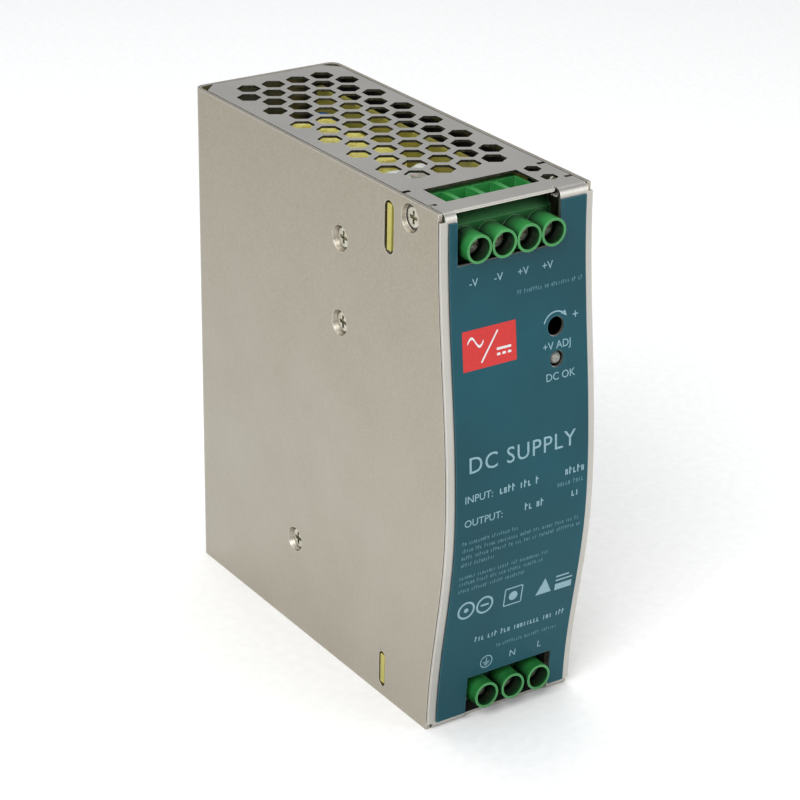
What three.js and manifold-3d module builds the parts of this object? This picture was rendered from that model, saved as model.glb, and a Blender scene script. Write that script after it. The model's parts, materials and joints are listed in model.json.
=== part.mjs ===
// DIN rail power supply: sheet-metal case, terminal blocks, boards, power parts and rail clip.
// Millimetres. X is the width, the front faces -Y, the rail is at +Y, Z is up and the base is z = 0.
import * as THREE from "three";
import { mergeVertices } from "three/addons/utils/BufferGeometryUtils.js";
import Module from "manifold-3d";

const wasm = await Module();
wasm.setup();

// ---------- driving dimensions ----------
const WIDTH = 40;
const HEIGHT = 125.2;
const DEPTH = 113.5;
const TOP_DEPTH = 103.5;
const SHEET = 1;
const COVER_SHEET = 0.6;
const GAP = 0.3;
const LABEL_GAP = 0.15;
const LABEL_THICKNESS = 0.25;
const BULGE = 5.3;
const BULGE_Z = 54;
const FRONT = -DEPTH / 2 + BULGE + LABEL_GAP + LABEL_THICKNESS;
const BACK = FRONT + TOP_DEPTH;
const COVER_BEND = 1.8;
const CHASSIS_BEND = 2.6;
const HALF_COVER = WIDTH / 2 - SHEET - GAP;

const VENT_PITCH = 6.85;
const VENT_FLATS = 5.2;
const VENT_ROWS = 13;
const VENT_FIRST_ROW = 23.9;
const VENT_CENTRE_X = 0.6;
const LONE_VENT_FLATS = 3.6;

const BOARD = 1.6;
const TERMINAL_BOARD = 18.4;
const MAIN_BOARD_X = 11.6;

const OUTPUT = { poles: 4, pitch: 6.5, x: -1.8, z: 116.9, wireSide: 6.7, up: 1 };
const INPUT = { poles: 3, pitch: 7.4, x: 1.9, z: 6.3, wireSide: 4.9, up: -1 };
const BLOCK_BACK = TERMINAL_BOARD - GAP;
const POCKET = { front: 6.9, back: 15.6, width: 5.3, floor: -6 };
const TUBE = { radius: 3.3, bore: 2.65, mouth: -2.5, seat: 3.6 };
const CAGE = { half: 2.35, front: 9.7, back: 15.3, wall: 0.9, halfHeight: 2.9 };
const CONTACT = { front: 10.9, back: 11.6, halfWidth: 1.1 };

const TRIMMER = { x: 9.7, z: 94.7 };
const LED = { x: 9.7, z: 87.3, radius: 1.5 };

const COVER_SCREW = { y: 11.3, z: 121.1 };
const RIGHT_LOW_SCREW_Z = 6;
const SCREW_SINK = 0.95;
const UPPER_SLOT = { y0: 17.3, y1: 20.9, z0: 110.4, z1: 122.7 };
const LOWER_SLOT = { y0: 18, y1: 20.4, z0: 2.4, z1: 11.6 };
const SINK_SCREWS = [
  { y: 38.5, z: 107.7 },
  { y: 38.5, z: 87.4 },
  { y: 57.7, z: 23.8 },
];

const RAIL_Z = 62.6;
const RAIL_HALF = 17.5;
const CLIP = { plate: 1.2, slot: 1.5, lip: 1.3, half: 15 };
const LATCH = { half: 6.2, window: 2.8, stroke: 4.5 };

// ---------- solids ----------
function toSolid(geometry) {
  const plain = new THREE.BufferGeometry();
  const flat = geometry.index ? geometry.toNonIndexed() : geometry;
  plain.setAttribute("position", flat.getAttribute("position"));
  const merged = mergeVertices(plain, 1e-4);
  return new wasm.Manifold(
    new wasm.Mesh({
      numProp: 3,
      vertProperties: merged.attributes.position.array,
      triVerts: new Uint32Array(merged.index.array),
    }),
  );
}

function toGeometry(solid) {
  const mesh = solid.getMesh();
  const geometry = new THREE.BufferGeometry();
  geometry.setAttribute("position", new THREE.BufferAttribute(mesh.vertProperties, 3));
  geometry.setIndex(new THREE.BufferAttribute(mesh.triVerts, 1));
  const flat = geometry.toNonIndexed();
  flat.computeVertexNormals();
  return flat;
}

function join(first, ...others) {
  return others.reduce((sum, solid) => sum.add(solid), first);
}

function cut(first, ...others) {
  return others.reduce((rest, solid) => rest.subtract(solid), first);
}

function box(x0, x1, y0, y1, z0, z1) {
  const geometry = new THREE.BoxGeometry(x1 - x0, y1 - y0, z1 - z0);
  geometry.translate((x0 + x1) / 2, (y0 + y1) / 2, (z0 + z1) / 2);
  return toSolid(geometry);
}

// A cone or cylinder from one radius to another along an axis, between two places on that axis.
function cone(axis, from, to, r0, r1, centre, segments = 20) {
  const geometry = new THREE.CylinderGeometry(r1, r0, to - from, segments);
  geometry.translate(0, (from + to) / 2, 0);
  if (axis === "x") geometry.applyMatrix4(axes([0, 0, 1], [1, 0, 0], [0, 1, 0]));
  if (axis === "z") geometry.applyMatrix4(axes([0, 1, 0], [0, 0, 1], [1, 0, 0]));
  geometry.translate(...centre);
  return toSolid(geometry);
}

function rod(axis, from, to, radius, centre, segments = 18) {
  return cone(axis, from, to, radius, radius, centre, segments);
}

function axes(x, y, z) {
  const at = (v) => new THREE.Vector3(...v);
  return new THREE.Matrix4().makeBasis(at(x), at(y), at(z));
}

function extrude(shape, length, curveSegments = 6) {
  return new THREE.ExtrudeGeometry(shape, { depth: length, bevelEnabled: false, curveSegments });
}

// A shape drawn in (y, z), extruded along X.
function extrudeX(shape, x0, x1, curveSegments) {
  const geometry = extrude(shape, x1 - x0, curveSegments);
  geometry.applyMatrix4(axes([0, 1, 0], [0, 0, 1], [1, 0, 0]));
  geometry.translate(x0, 0, 0);
  return toSolid(geometry);
}

// A shape drawn in (x, z), extruded along Y.
function extrudeY(shape, y0, y1, curveSegments) {
  const geometry = extrude(shape, y1 - y0, curveSegments);
  geometry.applyMatrix4(axes([1, 0, 0], [0, 0, 1], [0, -1, 0]));
  geometry.translate(0, y1, 0);
  return toSolid(geometry);
}

// A shape drawn in (x, y), extruded along Z.
function extrudeZ(shape, z0, z1, curveSegments) {
  const geometry = extrude(shape, z1 - z0, curveSegments);
  geometry.translate(0, 0, z0);
  return toSolid(geometry);
}

function polygon(points) {
  return new THREE.Shape(points.map(([a, b]) => new THREE.Vector2(a, b)));
}

// A profile of [radius, height] pairs turned about an axis through the centre.
function turned(axis, profile, centre, segments = 20) {
  const geometry = new THREE.LatheGeometry(
    profile.map(([r, h]) => new THREE.Vector2(r, h)),
    segments,
  );
  if (axis === "x") geometry.applyMatrix4(axes([0, 0, 1], [1, 0, 0], [0, 1, 0]));
  geometry.translate(...centre);
  return toSolid(geometry);
}

// ---------- curved front ----------
// How far the front stands forward of its top edge at a height.
function bulgeAt(z) {
  const span = z > BULGE_Z ? HEIGHT - BULGE_Z : BULGE_Z;
  return (BULGE * (1 + Math.cos((Math.PI * (z - BULGE_Z)) / span))) / 2;
}

function frontCurve(offset, zLow, zHigh, steps = 26) {
  const points = [];
  for (let i = 0; i <= steps; i++) {
    const z = zHigh + ((zLow - zHigh) * i) / steps;
    points.push([FRONT - bulgeAt(z) - offset, z]);
  }
  return points;
}

// A quarter turn about (y, z), from one angle in degrees to another.
function bend(y, z, radius, from, to, steps = 5) {
  const points = [];
  for (let i = 0; i <= steps; i++) {
    const angle = THREE.MathUtils.degToRad(from + ((to - from) * i) / steps);
    points.push([y + radius * Math.cos(angle), z + radius * Math.sin(angle)]);
  }
  return points;
}

// ---------- case ----------
function chassisProfile() {
  const half = WIDTH / 2;
  const front = FRONT - BULGE - 1;
  const inner = CHASSIS_BEND - SHEET;
  const shape = new THREE.Shape();
  shape.moveTo(-half, front);
  shape.lineTo(-half + SHEET, front);
  shape.lineTo(-half + SHEET, BACK - SHEET - inner);
  shape.absarc(-half + CHASSIS_BEND, BACK - CHASSIS_BEND, inner, Math.PI, Math.PI / 2, true);
  shape.lineTo(half - CHASSIS_BEND, BACK - SHEET);
  shape.absarc(half - CHASSIS_BEND, BACK - CHASSIS_BEND, inner, Math.PI / 2, 0, true);
  shape.lineTo(half - SHEET, front);
  shape.lineTo(half, front);
  shape.lineTo(half, BACK - CHASSIS_BEND);
  shape.absarc(half - CHASSIS_BEND, BACK - CHASSIS_BEND, CHASSIS_BEND, 0, Math.PI / 2, false);
  shape.lineTo(-half + CHASSIS_BEND, BACK);
  shape.absarc(-half + CHASSIS_BEND, BACK - CHASSIS_BEND, CHASSIS_BEND, Math.PI / 2, Math.PI, false);
  return shape;
}

// What is removed in front of the side walls, following the front curve.
function frontTrim() {
  const far = FRONT - BULGE - 5;
  const curve = frontCurve(-COVER_SHEET - GAP, -1, HEIGHT + 1);
  return extrudeX(polygon([...curve, [far, -1], [far, HEIGHT + 1]].reverse()), -WIDTH, WIDTH);
}

// The pressed seat of a countersunk screw in the left wall.
function dimple(screw) {
  const centre = [0, FRONT + screw.y, screw.z];
  const wall = -WIDTH / 2;
  return {
    add: cone("x", wall + 0.5, wall + 2.4, 5, 2.9, centre),
    remove: cone("x", wall - 0.2, wall + 2.6, 3.2, 1.8, centre),
  };
}

function coverScrewHole(side, z) {
  const wall = (side * WIDTH) / 2;
  const centre = [wall, FRONT + COVER_SCREW.y, z];
  const out = [-0.2, 1.4, 3.4, 2.65];
  if (side < 0) return cone("x", ...out, centre);
  return cone("x", -out[1], -out[0], out[3], out[2], centre);
}

// A slot with round ends through the left wall, where a board's tab shows.
function tabSlot({ y0, y1, z0, z1 }) {
  const radius = (y1 - y0) / 2;
  const middle = FRONT + (y0 + y1) / 2;
  const wall = [-WIDTH, -WIDTH / 2 + 2];
  const ends = [z0 + radius, z1 - radius].map((z) => rod("x", ...wall, radius, [0, middle, z], 20));
  return join(box(...wall, FRONT + y0, FRONT + y1, z0 + radius, z1 - radius), ...ends);
}

function makeChassis() {
  let solid = extrudeZ(chassisProfile(), 0, HEIGHT);
  solid = solid.subtract(frontTrim());
  for (const screw of SINK_SCREWS) {
    const seat = dimple(screw);
    solid = solid.add(seat.add).subtract(seat.remove);
  }
  solid = cut(solid, tabSlot(UPPER_SLOT), tabSlot(LOWER_SLOT), coverScrewHole(-1, COVER_SCREW.z));
  solid = cut(solid, coverScrewHole(1, COVER_SCREW.z), coverScrewHole(1, RIGHT_LOW_SCREW_Z));
  for (const [x, z] of railScrewPlaces()) {
    solid = solid.subtract(rod("y", BACK - 2, BACK + 1, 1.9, [x, 0, z], 16));
  }
  return solid;
}

function coverProfile() {
  const back = BACK - SHEET - GAP;
  const inner = COVER_BEND - COVER_SHEET;
  const topY = FRONT + COVER_BEND;
  const outside = [
    [back, HEIGHT],
    ...bend(topY, HEIGHT - COVER_BEND, COVER_BEND, 90, 180),
    ...frontCurve(0, COVER_BEND, HEIGHT - COVER_BEND).slice(1, -1),
    ...bend(topY, COVER_BEND, COVER_BEND, 180, 270),
    [back, 0],
  ];
  const inside = [
    [back, COVER_SHEET],
    ...bend(topY, COVER_BEND, inner, 270, 180),
    ...frontCurve(-COVER_SHEET, COVER_BEND, HEIGHT - COVER_BEND).slice(1, -1).reverse(),
    ...bend(topY, HEIGHT - COVER_BEND, inner, 180, 90),
    [back, HEIGHT - COVER_SHEET],
  ];
  return polygon([...outside, ...inside]);
}

// The front plate, which is as wide as the case and hides the front edges of the side walls.
function frontPlate() {
  const outer = frontCurve(0, COVER_BEND, HEIGHT - COVER_BEND);
  const inner = frontCurve(-COVER_SHEET, COVER_BEND, HEIGHT - COVER_BEND).reverse();
  return extrudeX(polygon([...outer, ...inner]), -WIDTH / 2, WIDTH / 2);
}

function hexagon(x, y, flats) {
  const radius = flats / Math.sqrt(3);
  const points = [];
  for (let i = 0; i < 6; i++) {
    const angle = Math.PI / 2 + (i * Math.PI) / 3;
    points.push([x + radius * Math.cos(angle), y + radius * Math.sin(angle)]);
  }
  return polygon(points);
}

// Rows of four and five vents by turns, in a honeycomb, cut through one plate.
function ventCutters(z0, z1) {
  const cutters = [];
  for (let row = 0; row < VENT_ROWS; row++) {
    const count = row % 2 ? 5 : 4;
    const y = FRONT + VENT_FIRST_ROW + (row * VENT_PITCH * Math.sqrt(3)) / 2;
    for (let i = 0; i < count; i++) {
      const x = VENT_CENTRE_X + (i - (count - 1) / 2) * VENT_PITCH;
      cutters.push(extrudeZ(hexagon(x, y, VENT_FLATS), z0, z1));
    }
  }
  return cutters;
}

// The flap under the cover's edge that takes a cover screw.
function coverFlap(side, z0, z1) {
  const outer = side * HALF_COVER;
  const inner = side * (HALF_COVER - COVER_SHEET);
  return box(Math.min(outer, inner), Math.max(outer, inner), FRONT + 6.8, FRONT + 15.4, z0, z1);
}

function flapNotches(side, z0, z1) {
  const outer = side * (HALF_COVER + 1);
  const inner = side * (HALF_COVER - 1.9);
  const x = [Math.min(outer, inner), Math.max(outer, inner)];
  return [
    box(...x, FRONT + 5.6, FRONT + 6.8, z0, z1),
    box(...x, FRONT + 15.4, FRONT + 16.6, z0, z1),
  ];
}

// The sunk hole in a flap, narrowing inwards.
function flapHole(side, z) {
  const wide = HALF_COVER + 0.3;
  const narrow = HALF_COVER - COVER_SHEET - 0.7;
  const centre = [0, FRONT + COVER_SCREW.y, z];
  if (side < 0) return cone("x", -wide, -narrow, 2.975, 1.775, centre, 16);
  return cone("x", narrow, wide, 1.775, 2.975, centre, 16);
}

function cornerCut(side, z0, z1) {
  const back = BACK - SHEET - GAP;
  const corner = [
    [side * (HALF_COVER + 1), back + 1],
    [side * (HALF_COVER - 3.4), back + 1],
    [side * (HALF_COVER - 3.4), back + 0.01],
    [side * (HALF_COVER + 0.01), back - 3.4],
    [side * (HALF_COVER + 1), back - 3.4],
  ];
  return extrudeZ(polygon(side < 0 ? corner.reverse() : corner), z0, z1);
}

function blockHalfWidth(block) {
  return (block.poles * block.pitch) / 2;
}

function poleX(block, i) {
  return block.x + (i - (block.poles - 1) / 2) * block.pitch;
}

function wireWindow(block, z0, z1) {
  const half = blockHalfWidth(block) - 0.7;
  return box(block.x - half, block.x + half, FRONT + 6.5, FRONT + 15.3, z0, z1);
}

function makeCover() {
  const top = [HEIGHT - 2 * SHEET, HEIGHT + 1];
  const bottom = [-1, 2 * SHEET];
  const inside = box(-HALF_COVER, HALF_COVER, FRONT - BULGE - 1, BACK, -1, HEIGHT + 1);
  let solid = extrudeX(coverProfile(), -HALF_COVER, HALF_COVER);
  solid = join(
    solid,
    frontPlate().subtract(inside),
    coverFlap(-1, 114.5, HEIGHT - COVER_SHEET / 2),
    coverFlap(1, 114.5, HEIGHT - COVER_SHEET / 2),
    coverFlap(1, COVER_SHEET / 2, 11),
  );
  solid = cut(solid, ...ventCutters(...top), ...ventCutters(...bottom));
  solid = cut(solid, wireWindow(OUTPUT, ...top), wireWindow(INPUT, ...bottom));
  solid = cut(solid, ...flapNotches(-1, ...top), ...flapNotches(1, ...top), ...flapNotches(1, ...bottom));
  solid = cut(solid, flapHole(-1, COVER_SCREW.z), flapHole(1, COVER_SCREW.z), flapHole(1, RIGHT_LOW_SCREW_Z));
  for (const y of [7.8, 13.9]) {
    solid = solid.subtract(extrudeZ(hexagon(14, FRONT + y, LONE_VENT_FLATS), ...top));
  }
  for (const side of [-1, 1]) {
    solid = cut(solid, cornerCut(side, ...top), cornerCut(side, ...bottom));
  }
  return cut(solid, ...frontOpenings(0));
}

// The openings of the front: both terminal windows, the trimmer hole and the lamp hole.
function frontOpenings(margin) {
  const forward = FRONT - BULGE - 3;
  const bendLine = FRONT + 1.3;
  return [
    box(-15.8 - margin, 11.2 + margin, forward, bendLine, 113.2 - margin, HEIGHT + 1),
    box(10.5, 11.2, forward, bendLine + 1, 122, HEIGHT + 1),
    box(-9.9 - margin, 13.7 + margin, forward, bendLine, -1, 11.3 + margin),
    rod("y", forward, FRONT + 2, 2.2 + margin, [TRIMMER.x, 0, TRIMMER.z]),
    rod("y", forward, FRONT + 2, LED.radius + 0.35 + margin, [LED.x, 0, LED.z]),
  ];
}

// The printed film on the front.
function makeFrontLabel() {
  const low = 1.9;
  const high = HEIGHT - 2.2;
  const inner = frontCurve(LABEL_GAP, low, high);
  const outer = frontCurve(LABEL_GAP + LABEL_THICKNESS, low, high).reverse();
  const film = extrudeX(polygon([...inner, ...outer].reverse()), -17.9, 18.1);
  return cut(film, ...frontOpenings(0.1));
}

// The dark insulating film on the inside of the right wall.
function makeInsulation() {
  const notch = 17.2;
  const back = BACK - SHEET - CHASSIS_BEND;
  const outline = [
    [FRONT + 2, 12.5],
    [FRONT + notch, 12.5],
    [FRONT + notch, 2.5],
    [back, 2.5],
    [back, HEIGHT - 2.5],
    [FRONT + notch, HEIGHT - 2.5],
    [FRONT + notch, 113],
    [FRONT + 2, 113],
  ];
  return extrudeX(polygon(outline), HALF_COVER - 0.4, HALF_COVER);
}

// ---------- screws ----------
// A countersunk cross-recess screw whose head face is at x = 0 and whose shank runs along +X.
function countersunkScrew(length) {
  const profile = [
    [0, length],
    [1.2, length],
    [1.45, length - 0.4],
    [1.45, 1.6],
    [2.3, 0.15],
    [2.3, 0],
    [0, 0],
  ];
  const solid = turned("x", profile.reverse(), [0, 0, 0], 14);
  const deep = 1.1;
  const arms = [
    box(-1, deep, -1.5, 1.5, -0.4, 0.4),
    box(-1, deep, -0.4, 0.4, -1.5, 1.5),
  ];
  return cut(solid, ...arms);
}

// A panhead screw whose head stands behind y = 0 and whose shank runs along -Y.
function panScrew(length) {
  const profile = [
    [0, -length],
    [1.4, -length],
    [1.4, 0],
    [2.7, 0],
    [2.7, 0.5],
    [1.8, 1.1],
    [0, 1.1],
  ];
  const solid = turned("y", profile, [0, 0, 0], 14);
  return cut(solid, box(-1.5, 1.5, 0.4, 2, -0.35, 0.35), box(-0.35, 0.35, 0.4, 2, -1.5, 1.5));
}

function terminalScrew(block, i) {
  const head = [0.9, 3.3];
  const tip = 10.55;
  const profile = [
    [0, head[0]],
    [2, head[0]],
    [2.3, head[0] + 0.3],
    [2.3, head[1]],
    [1.45, head[1]],
    [1.45, tip - 0.3],
    [1.1, tip],
    [0, tip],
  ];
  const solid = turned("y", profile, [0, 0, 0], 14);
  const slots = [
    box(-2, 2, 0, head[0] + 1, -0.35, 0.35),
    box(-0.3, 0.3, 0, head[0] + 1, -1.5, 1.5),
  ];
  return cut(solid, ...slots).translate([poleX(block, i), FRONT, block.z]);
}

// ---------- terminal blocks ----------
// A block seen with its wire side up: one funnel and one open pocket for each pole.
function makeBlock(block) {
  const half = blockHalfWidth(block);
  const side = [
    [BLOCK_BACK, -8],
    [BLOCK_BACK, block.wireSide],
    [6.1, block.wireSide],
    [3.4, Math.min(3.9, block.wireSide - 1)],
    [3.4, -4.2],
    [6.1, -8],
  ];
  let solid = extrudeX(polygon(side), -half, half);
  const places = [];
  for (let i = 0; i < block.poles; i++) places.push(poleX(block, i) - block.x);
  for (const x of places) {
    solid = solid.add(cone("y", TUBE.mouth, 4.4, TUBE.radius - 0.1, TUBE.radius + 0.1, [x, 0, 0], 24));
  }
  for (const x of places) {
    solid = cut(solid, ...poleCutters(x, block));
  }
  if (block.poles === 4) {
    for (const x of [-block.pitch, block.pitch]) {
      solid = solid.subtract(box(x - 2, x + 2, CONTACT.front - 0.4, CONTACT.back + 0.4, -5.9, -3.9));
    }
  }
  return placeBlock(solid, block);
}

function poleCutters(x, block) {
  const half = POCKET.width / 2;
  return [
    rod("y", TUBE.mouth - 1, TUBE.seat, TUBE.bore, [x, 0, 0], 24),
    rod("y", TUBE.seat - 1, POCKET.front + 1, 1.8, [x, 0, 0], 16),
    box(x - half, x + half, POCKET.front, POCKET.back, POCKET.floor, block.wireSide + 1),
    box(x - 0.8, x + 0.8, POCKET.back - 1, BLOCK_BACK + 1, -5.8, -4.2),
  ];
}

// The output block has its wires at the top; the input block is the same turned over.
function placeBlock(solid, block) {
  const turnedOver = block.up > 0 ? solid : solid.rotate([0, 180, 0]);
  return turnedOver.translate([block.x, FRONT, block.z]);
}

// The square ring that a terminal screw pulls forward.
function makeCage(block, i) {
  const { half, front, back, wall, halfHeight } = CAGE;
  const ring = cut(
    box(-half, half, front, back, -halfHeight, halfHeight),
    box(-half + wall, half - wall, front + wall, back - wall, -5, 5),
    rod("y", front - 1, front + wall + 1, 1.8, [0, 0, 0], 16),
  );
  return ring.translate([poleX(block, i), FRONT, block.z]);
}

// A fixed contact for one or two poles, with a pin through the terminal board for each.
function makeContact(block, first, last) {
  const parts = [];
  for (let i = first; i <= last; i++) {
    const x = poleX(block, i) - block.x;
    parts.push(box(x - CONTACT.halfWidth, x + CONTACT.halfWidth, CONTACT.front, CONTACT.back, -5.5, 3.4));
    parts.push(box(x - 0.5, x + 0.5, CONTACT.front, TERMINAL_BOARD + BOARD + 1.2, -5.5, -4.5));
  }
  if (last > first) {
    const from = poleX(block, first) - block.x;
    const to = poleX(block, last) - block.x;
    parts.push(box(from, to, CONTACT.front, CONTACT.back, -5.5, -4.3));
  }
  return placeBlock(join(...parts), block);
}

// ---------- boards ----------
function terminalBoard(block, low, high, tabLow, tabHigh) {
  const front = FRONT + TERMINAL_BOARD;
  let solid = box(-18.3, 16.2, front, front + BOARD, low, high);
  solid = solid.add(box(-WIDTH / 2 + 0.1, -18, front, front + BOARD, tabLow, tabHigh));
  for (let i = 0; i < block.poles; i++) {
    const z = block.z - block.up * 5;
    const x = poleX(block, i);
    solid = solid.subtract(box(x - 0.8, x + 0.8, front - 1, front + BOARD + 1, z - 0.8, z + 0.8));
  }
  return solid;
}

function makeOutputBoard() {
  const front = FRONT + TERMINAL_BOARD;
  const board = terminalBoard(OUTPUT, 82, 122.9, 111.2, 121.9);
  const holes = [-1.27, 1.27].map((dx) =>
    box(LED.x + dx - 0.6, LED.x + dx + 0.6, front - 1, front + BOARD + 1, LED.z - 0.6, LED.z + 0.6),
  );
  return cut(board, ...holes);
}

function makeInputBoard() {
  return terminalBoard(INPUT, 2.2, 40, 3.3, 10.7);
}

function makeMainBoard() {
  const front = FRONT + TERMINAL_BOARD + BOARD + GAP;
  const outline = [
    [front, 3],
    [BACK - 5, 3],
    [BACK - 5, 121.5],
    [front, 121.5],
  ];
  return extrudeX(polygon(outline), MAIN_BOARD_X, MAIN_BOARD_X + BOARD);
}

// ---------- front controls ----------
function makeTrimmerBody() {
  const back = FRONT + BLOCK_BACK;
  const body = box(TRIMMER.x - 3.3, TRIMMER.x + 3.3, back - 4.6, back, TRIMMER.z - 3.3, TRIMMER.z + 3.3);
  const wells = [
    rod("y", back - 6, back - 3.4, 2.7, [TRIMMER.x, 0, TRIMMER.z]),
    rod("y", back - 4, back - 1.5, 1.3, [TRIMMER.x, 0, TRIMMER.z]),
  ];
  return cut(body, ...wells);
}

function makeTrimmerRotor() {
  const back = FRONT + BLOCK_BACK;
  const profile = [
    [0, back - 5.4],
    [2.1, back - 5.4],
    [2.3, back - 5.2],
    [2.3, back - 3.8],
    [0.95, back - 3.8],
    [0.95, back - 1.9],
    [0, back - 1.9],
  ];
  const solid = turned("y", profile, [0, 0, 0], 18);
  const slots = [
    box(-1.7, 1.7, back - 6, back - 4.6, -0.35, 0.35),
    box(-0.35, 0.35, back - 6, back - 4.6, -1.7, 1.7),
    box(-0.25, 0.25, back - 6, back - 5.1, 0.6, 2.4),
  ];
  return cut(solid, ...slots).translate([TRIMMER.x, 0, TRIMMER.z]);
}

function makeStatusLed() {
  const tip = FRONT - bulgeAt(LED.z) - 0.5;
  const r = LED.radius;
  const profile = [[0, tip]];
  for (let i = 1; i <= 5; i++) {
    const angle = (i * Math.PI) / 10;
    profile.push([r * Math.sin(angle), tip + r - r * Math.cos(angle)]);
  }
  profile.push([r, tip + 4.3], [r + 0.4, tip + 4.3], [r + 0.4, tip + 5.3], [0, tip + 5.3]);
  const lens = turned("y", profile, [LED.x, 0, LED.z], 16);
  const end = FRONT + TERMINAL_BOARD + BOARD + 1;
  const leads = [-1.27, 1.27].map((dx) =>
    box(LED.x + dx - 0.25, LED.x + dx + 0.25, tip + 5, end, LED.z - 0.25, LED.z + 0.25),
  );
  return join(lens, ...leads);
}

// ---------- power parts ----------
// A closed ferrite frame in the (y, z) plane with a middle leg along Y.
function frameCore(size, leg, thickness) {
  const { y, z } = size;
  const frame = box(-thickness / 2, thickness / 2, -y / 2, y / 2, -z / 2, z / 2);
  const window = (z - 4 * leg) / 2;
  const openings = [1, -1].map((side) => {
    const middle = side * (leg + window / 2);
    return box(-thickness, thickness, -y / 2 + leg, y / 2 - leg, middle - window / 2, middle + window / 2);
  });
  return cut(frame, ...openings);
}

// A winding round a middle leg, with rounded corners in the (x, z) plane.
function legWinding(length, halfX, halfZ, holeX, holeZ) {
  const r = 2.5;
  const shape = new THREE.Shape();
  shape.moveTo(-halfX + r, -halfZ);
  shape.lineTo(halfX - r, -halfZ);
  shape.absarc(halfX - r, -halfZ + r, r, -Math.PI / 2, 0, false);
  shape.lineTo(halfX, halfZ - r);
  shape.absarc(halfX - r, halfZ - r, r, 0, Math.PI / 2, false);
  shape.lineTo(-halfX + r, halfZ);
  shape.absarc(-halfX + r, halfZ - r, r, Math.PI / 2, Math.PI, false);
  shape.lineTo(-halfX, -halfZ + r);
  shape.absarc(-halfX + r, -halfZ + r, r, Math.PI, 1.5 * Math.PI, false);
  const hole = box(-holeX, holeX, -length, length, -holeZ, holeZ);
  return extrudeY(shape, -length / 2, length / 2, 4).subtract(hole);
}

const TRANSFORMER = { at: [-1.5, FRONT + 65.5, 105], y: 32, z: 27, leg: 4.2, thickness: 12 };

function makeTransformerCore() {
  const { at, y, z, leg, thickness } = TRANSFORMER;
  return frameCore({ y, z }, leg, thickness).translate(at);
}

function makeTransformerWinding() {
  const { at, y, z, leg, thickness } = TRANSFORMER;
  const halfZ = z / 2 - leg - GAP;
  const winding = legWinding(y - 2 * leg - 2 * GAP, 11, halfZ, thickness / 2 + GAP, leg + GAP);
  return winding.translate(at);
}

// The tape band round the outside of the transformer core.
function makeTransformerTape() {
  const { at, y, z } = TRANSFORMER;
  const band = box(-6.2, 6.2, -y / 2 - 0.7, y / 2 + 0.7, -z / 2 - 0.7, z / 2 + 0.7);
  const inside = box(-7, 7, -y / 2 - GAP, y / 2 + GAP, -z / 2 - GAP, z / 2 + GAP);
  return band.subtract(inside).translate(at);
}

const CHOKE = { at: [1, FRONT + 40, 25], y: 22, z: 22, leg: 3, thickness: 7 };

function makeFilterCore() {
  const { at, y, z, leg, thickness } = CHOKE;
  return frameCore({ y, z }, leg, thickness).translate(at);
}

function makeFilterWinding() {
  const { at, y, z, leg, thickness } = CHOKE;
  const halfZ = z / 2 - leg - GAP;
  const winding = legWinding(y - 2 * leg - 2 * GAP, 8, halfZ, thickness / 2 + GAP, leg + GAP);
  return winding.translate(at);
}

// A can capacitor standing on the main board: sleeve, crimp groove and vent cross on its top.
function makeCan(radius, topX, y, z) {
  const base = MAIN_BOARD_X - GAP;
  const profile = [
    [0, topX],
    [radius - 0.8, topX],
    [radius, topX + 0.8],
    [radius, base - 3.4],
    [radius - 0.6, base - 2.7],
    [radius, base - 2],
    [radius, base],
    [0, base],
  ];
  const can = turned("x", profile, [0, FRONT + y, z], 24);
  const groove = 0.25;
  const cross = [
    box(topX - 1, topX + groove, FRONT + y - radius * 0.6, FRONT + y + radius * 0.6, z - 0.25, z + 0.25),
    box(topX - 1, topX + groove, FRONT + y - 0.25, FRONT + y + 0.25, z - radius * 0.6, z + radius * 0.6),
  ];
  return cut(can, ...cross);
}

function makeXCapacitor() {
  return box(-6, MAIN_BOARD_X - GAP, FRONT + 25, FRONT + 43, 41, 49);
}

function makeFuse() {
  const y = FRONT + 25;
  const glass = rod("z", 12, 32, 2.4, [7, y, 0]);
  const caps = [rod("z", 11, 16, 2.7, [7, y, 0]), rod("z", 28, 33, 2.7, [7, y, 0])];
  const leads = [12.5, 31.5].map((z) => box(7, MAIN_BOARD_X - GAP, y - 0.4, y + 0.4, z - 0.4, z + 0.4));
  return join(glass, ...caps, ...leads);
}

function makeBridge() {
  const body = box(-9, 7, FRONT + 80, FRONT + 84.6, 16, 36);
  const leads = [18.4, 23.4, 28.6, 33.6].map((z) =>
    box(6, MAIN_BOARD_X - GAP, FRONT + 82, FRONT + 83, z - 0.5, z + 0.5),
  );
  return join(body, ...leads);
}

// An aluminium angle: one flange against the left wall, the other down to the main board.
function makeSink(y0, y1, webY, z0, z1) {
  const flange = box(-17.2, -14.2, FRONT + y0, FRONT + y1, z0, z1);
  const web = box(-15, MAIN_BOARD_X - GAP, FRONT + webY, FRONT + webY + 3, z0, z1);
  let solid = join(flange, web);
  for (const screw of SINK_SCREWS) {
    solid = solid.subtract(rod("x", -20, -10, 1.8, [0, FRONT + screw.y, screw.z], 14));
  }
  return solid;
}

// A flat power package: metal tab, moulded body and three legs.
function makePackage(y, z) {
  const tab = box(-9, -2, FRONT + y, FRONT + y + 1.3, z - 5, z + 5);
  const body = box(-5, 4.5, FRONT + y, FRONT + y + 4.2, z - 5, z + 5);
  const legs = [-2.5, 0, 2.5].map((dz) =>
    box(4, MAIN_BOARD_X - GAP, FRONT + y + 2, FRONT + y + 2.6, z + dz - 0.4, z + dz + 0.4),
  );
  return join(tab, body, ...legs);
}

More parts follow.
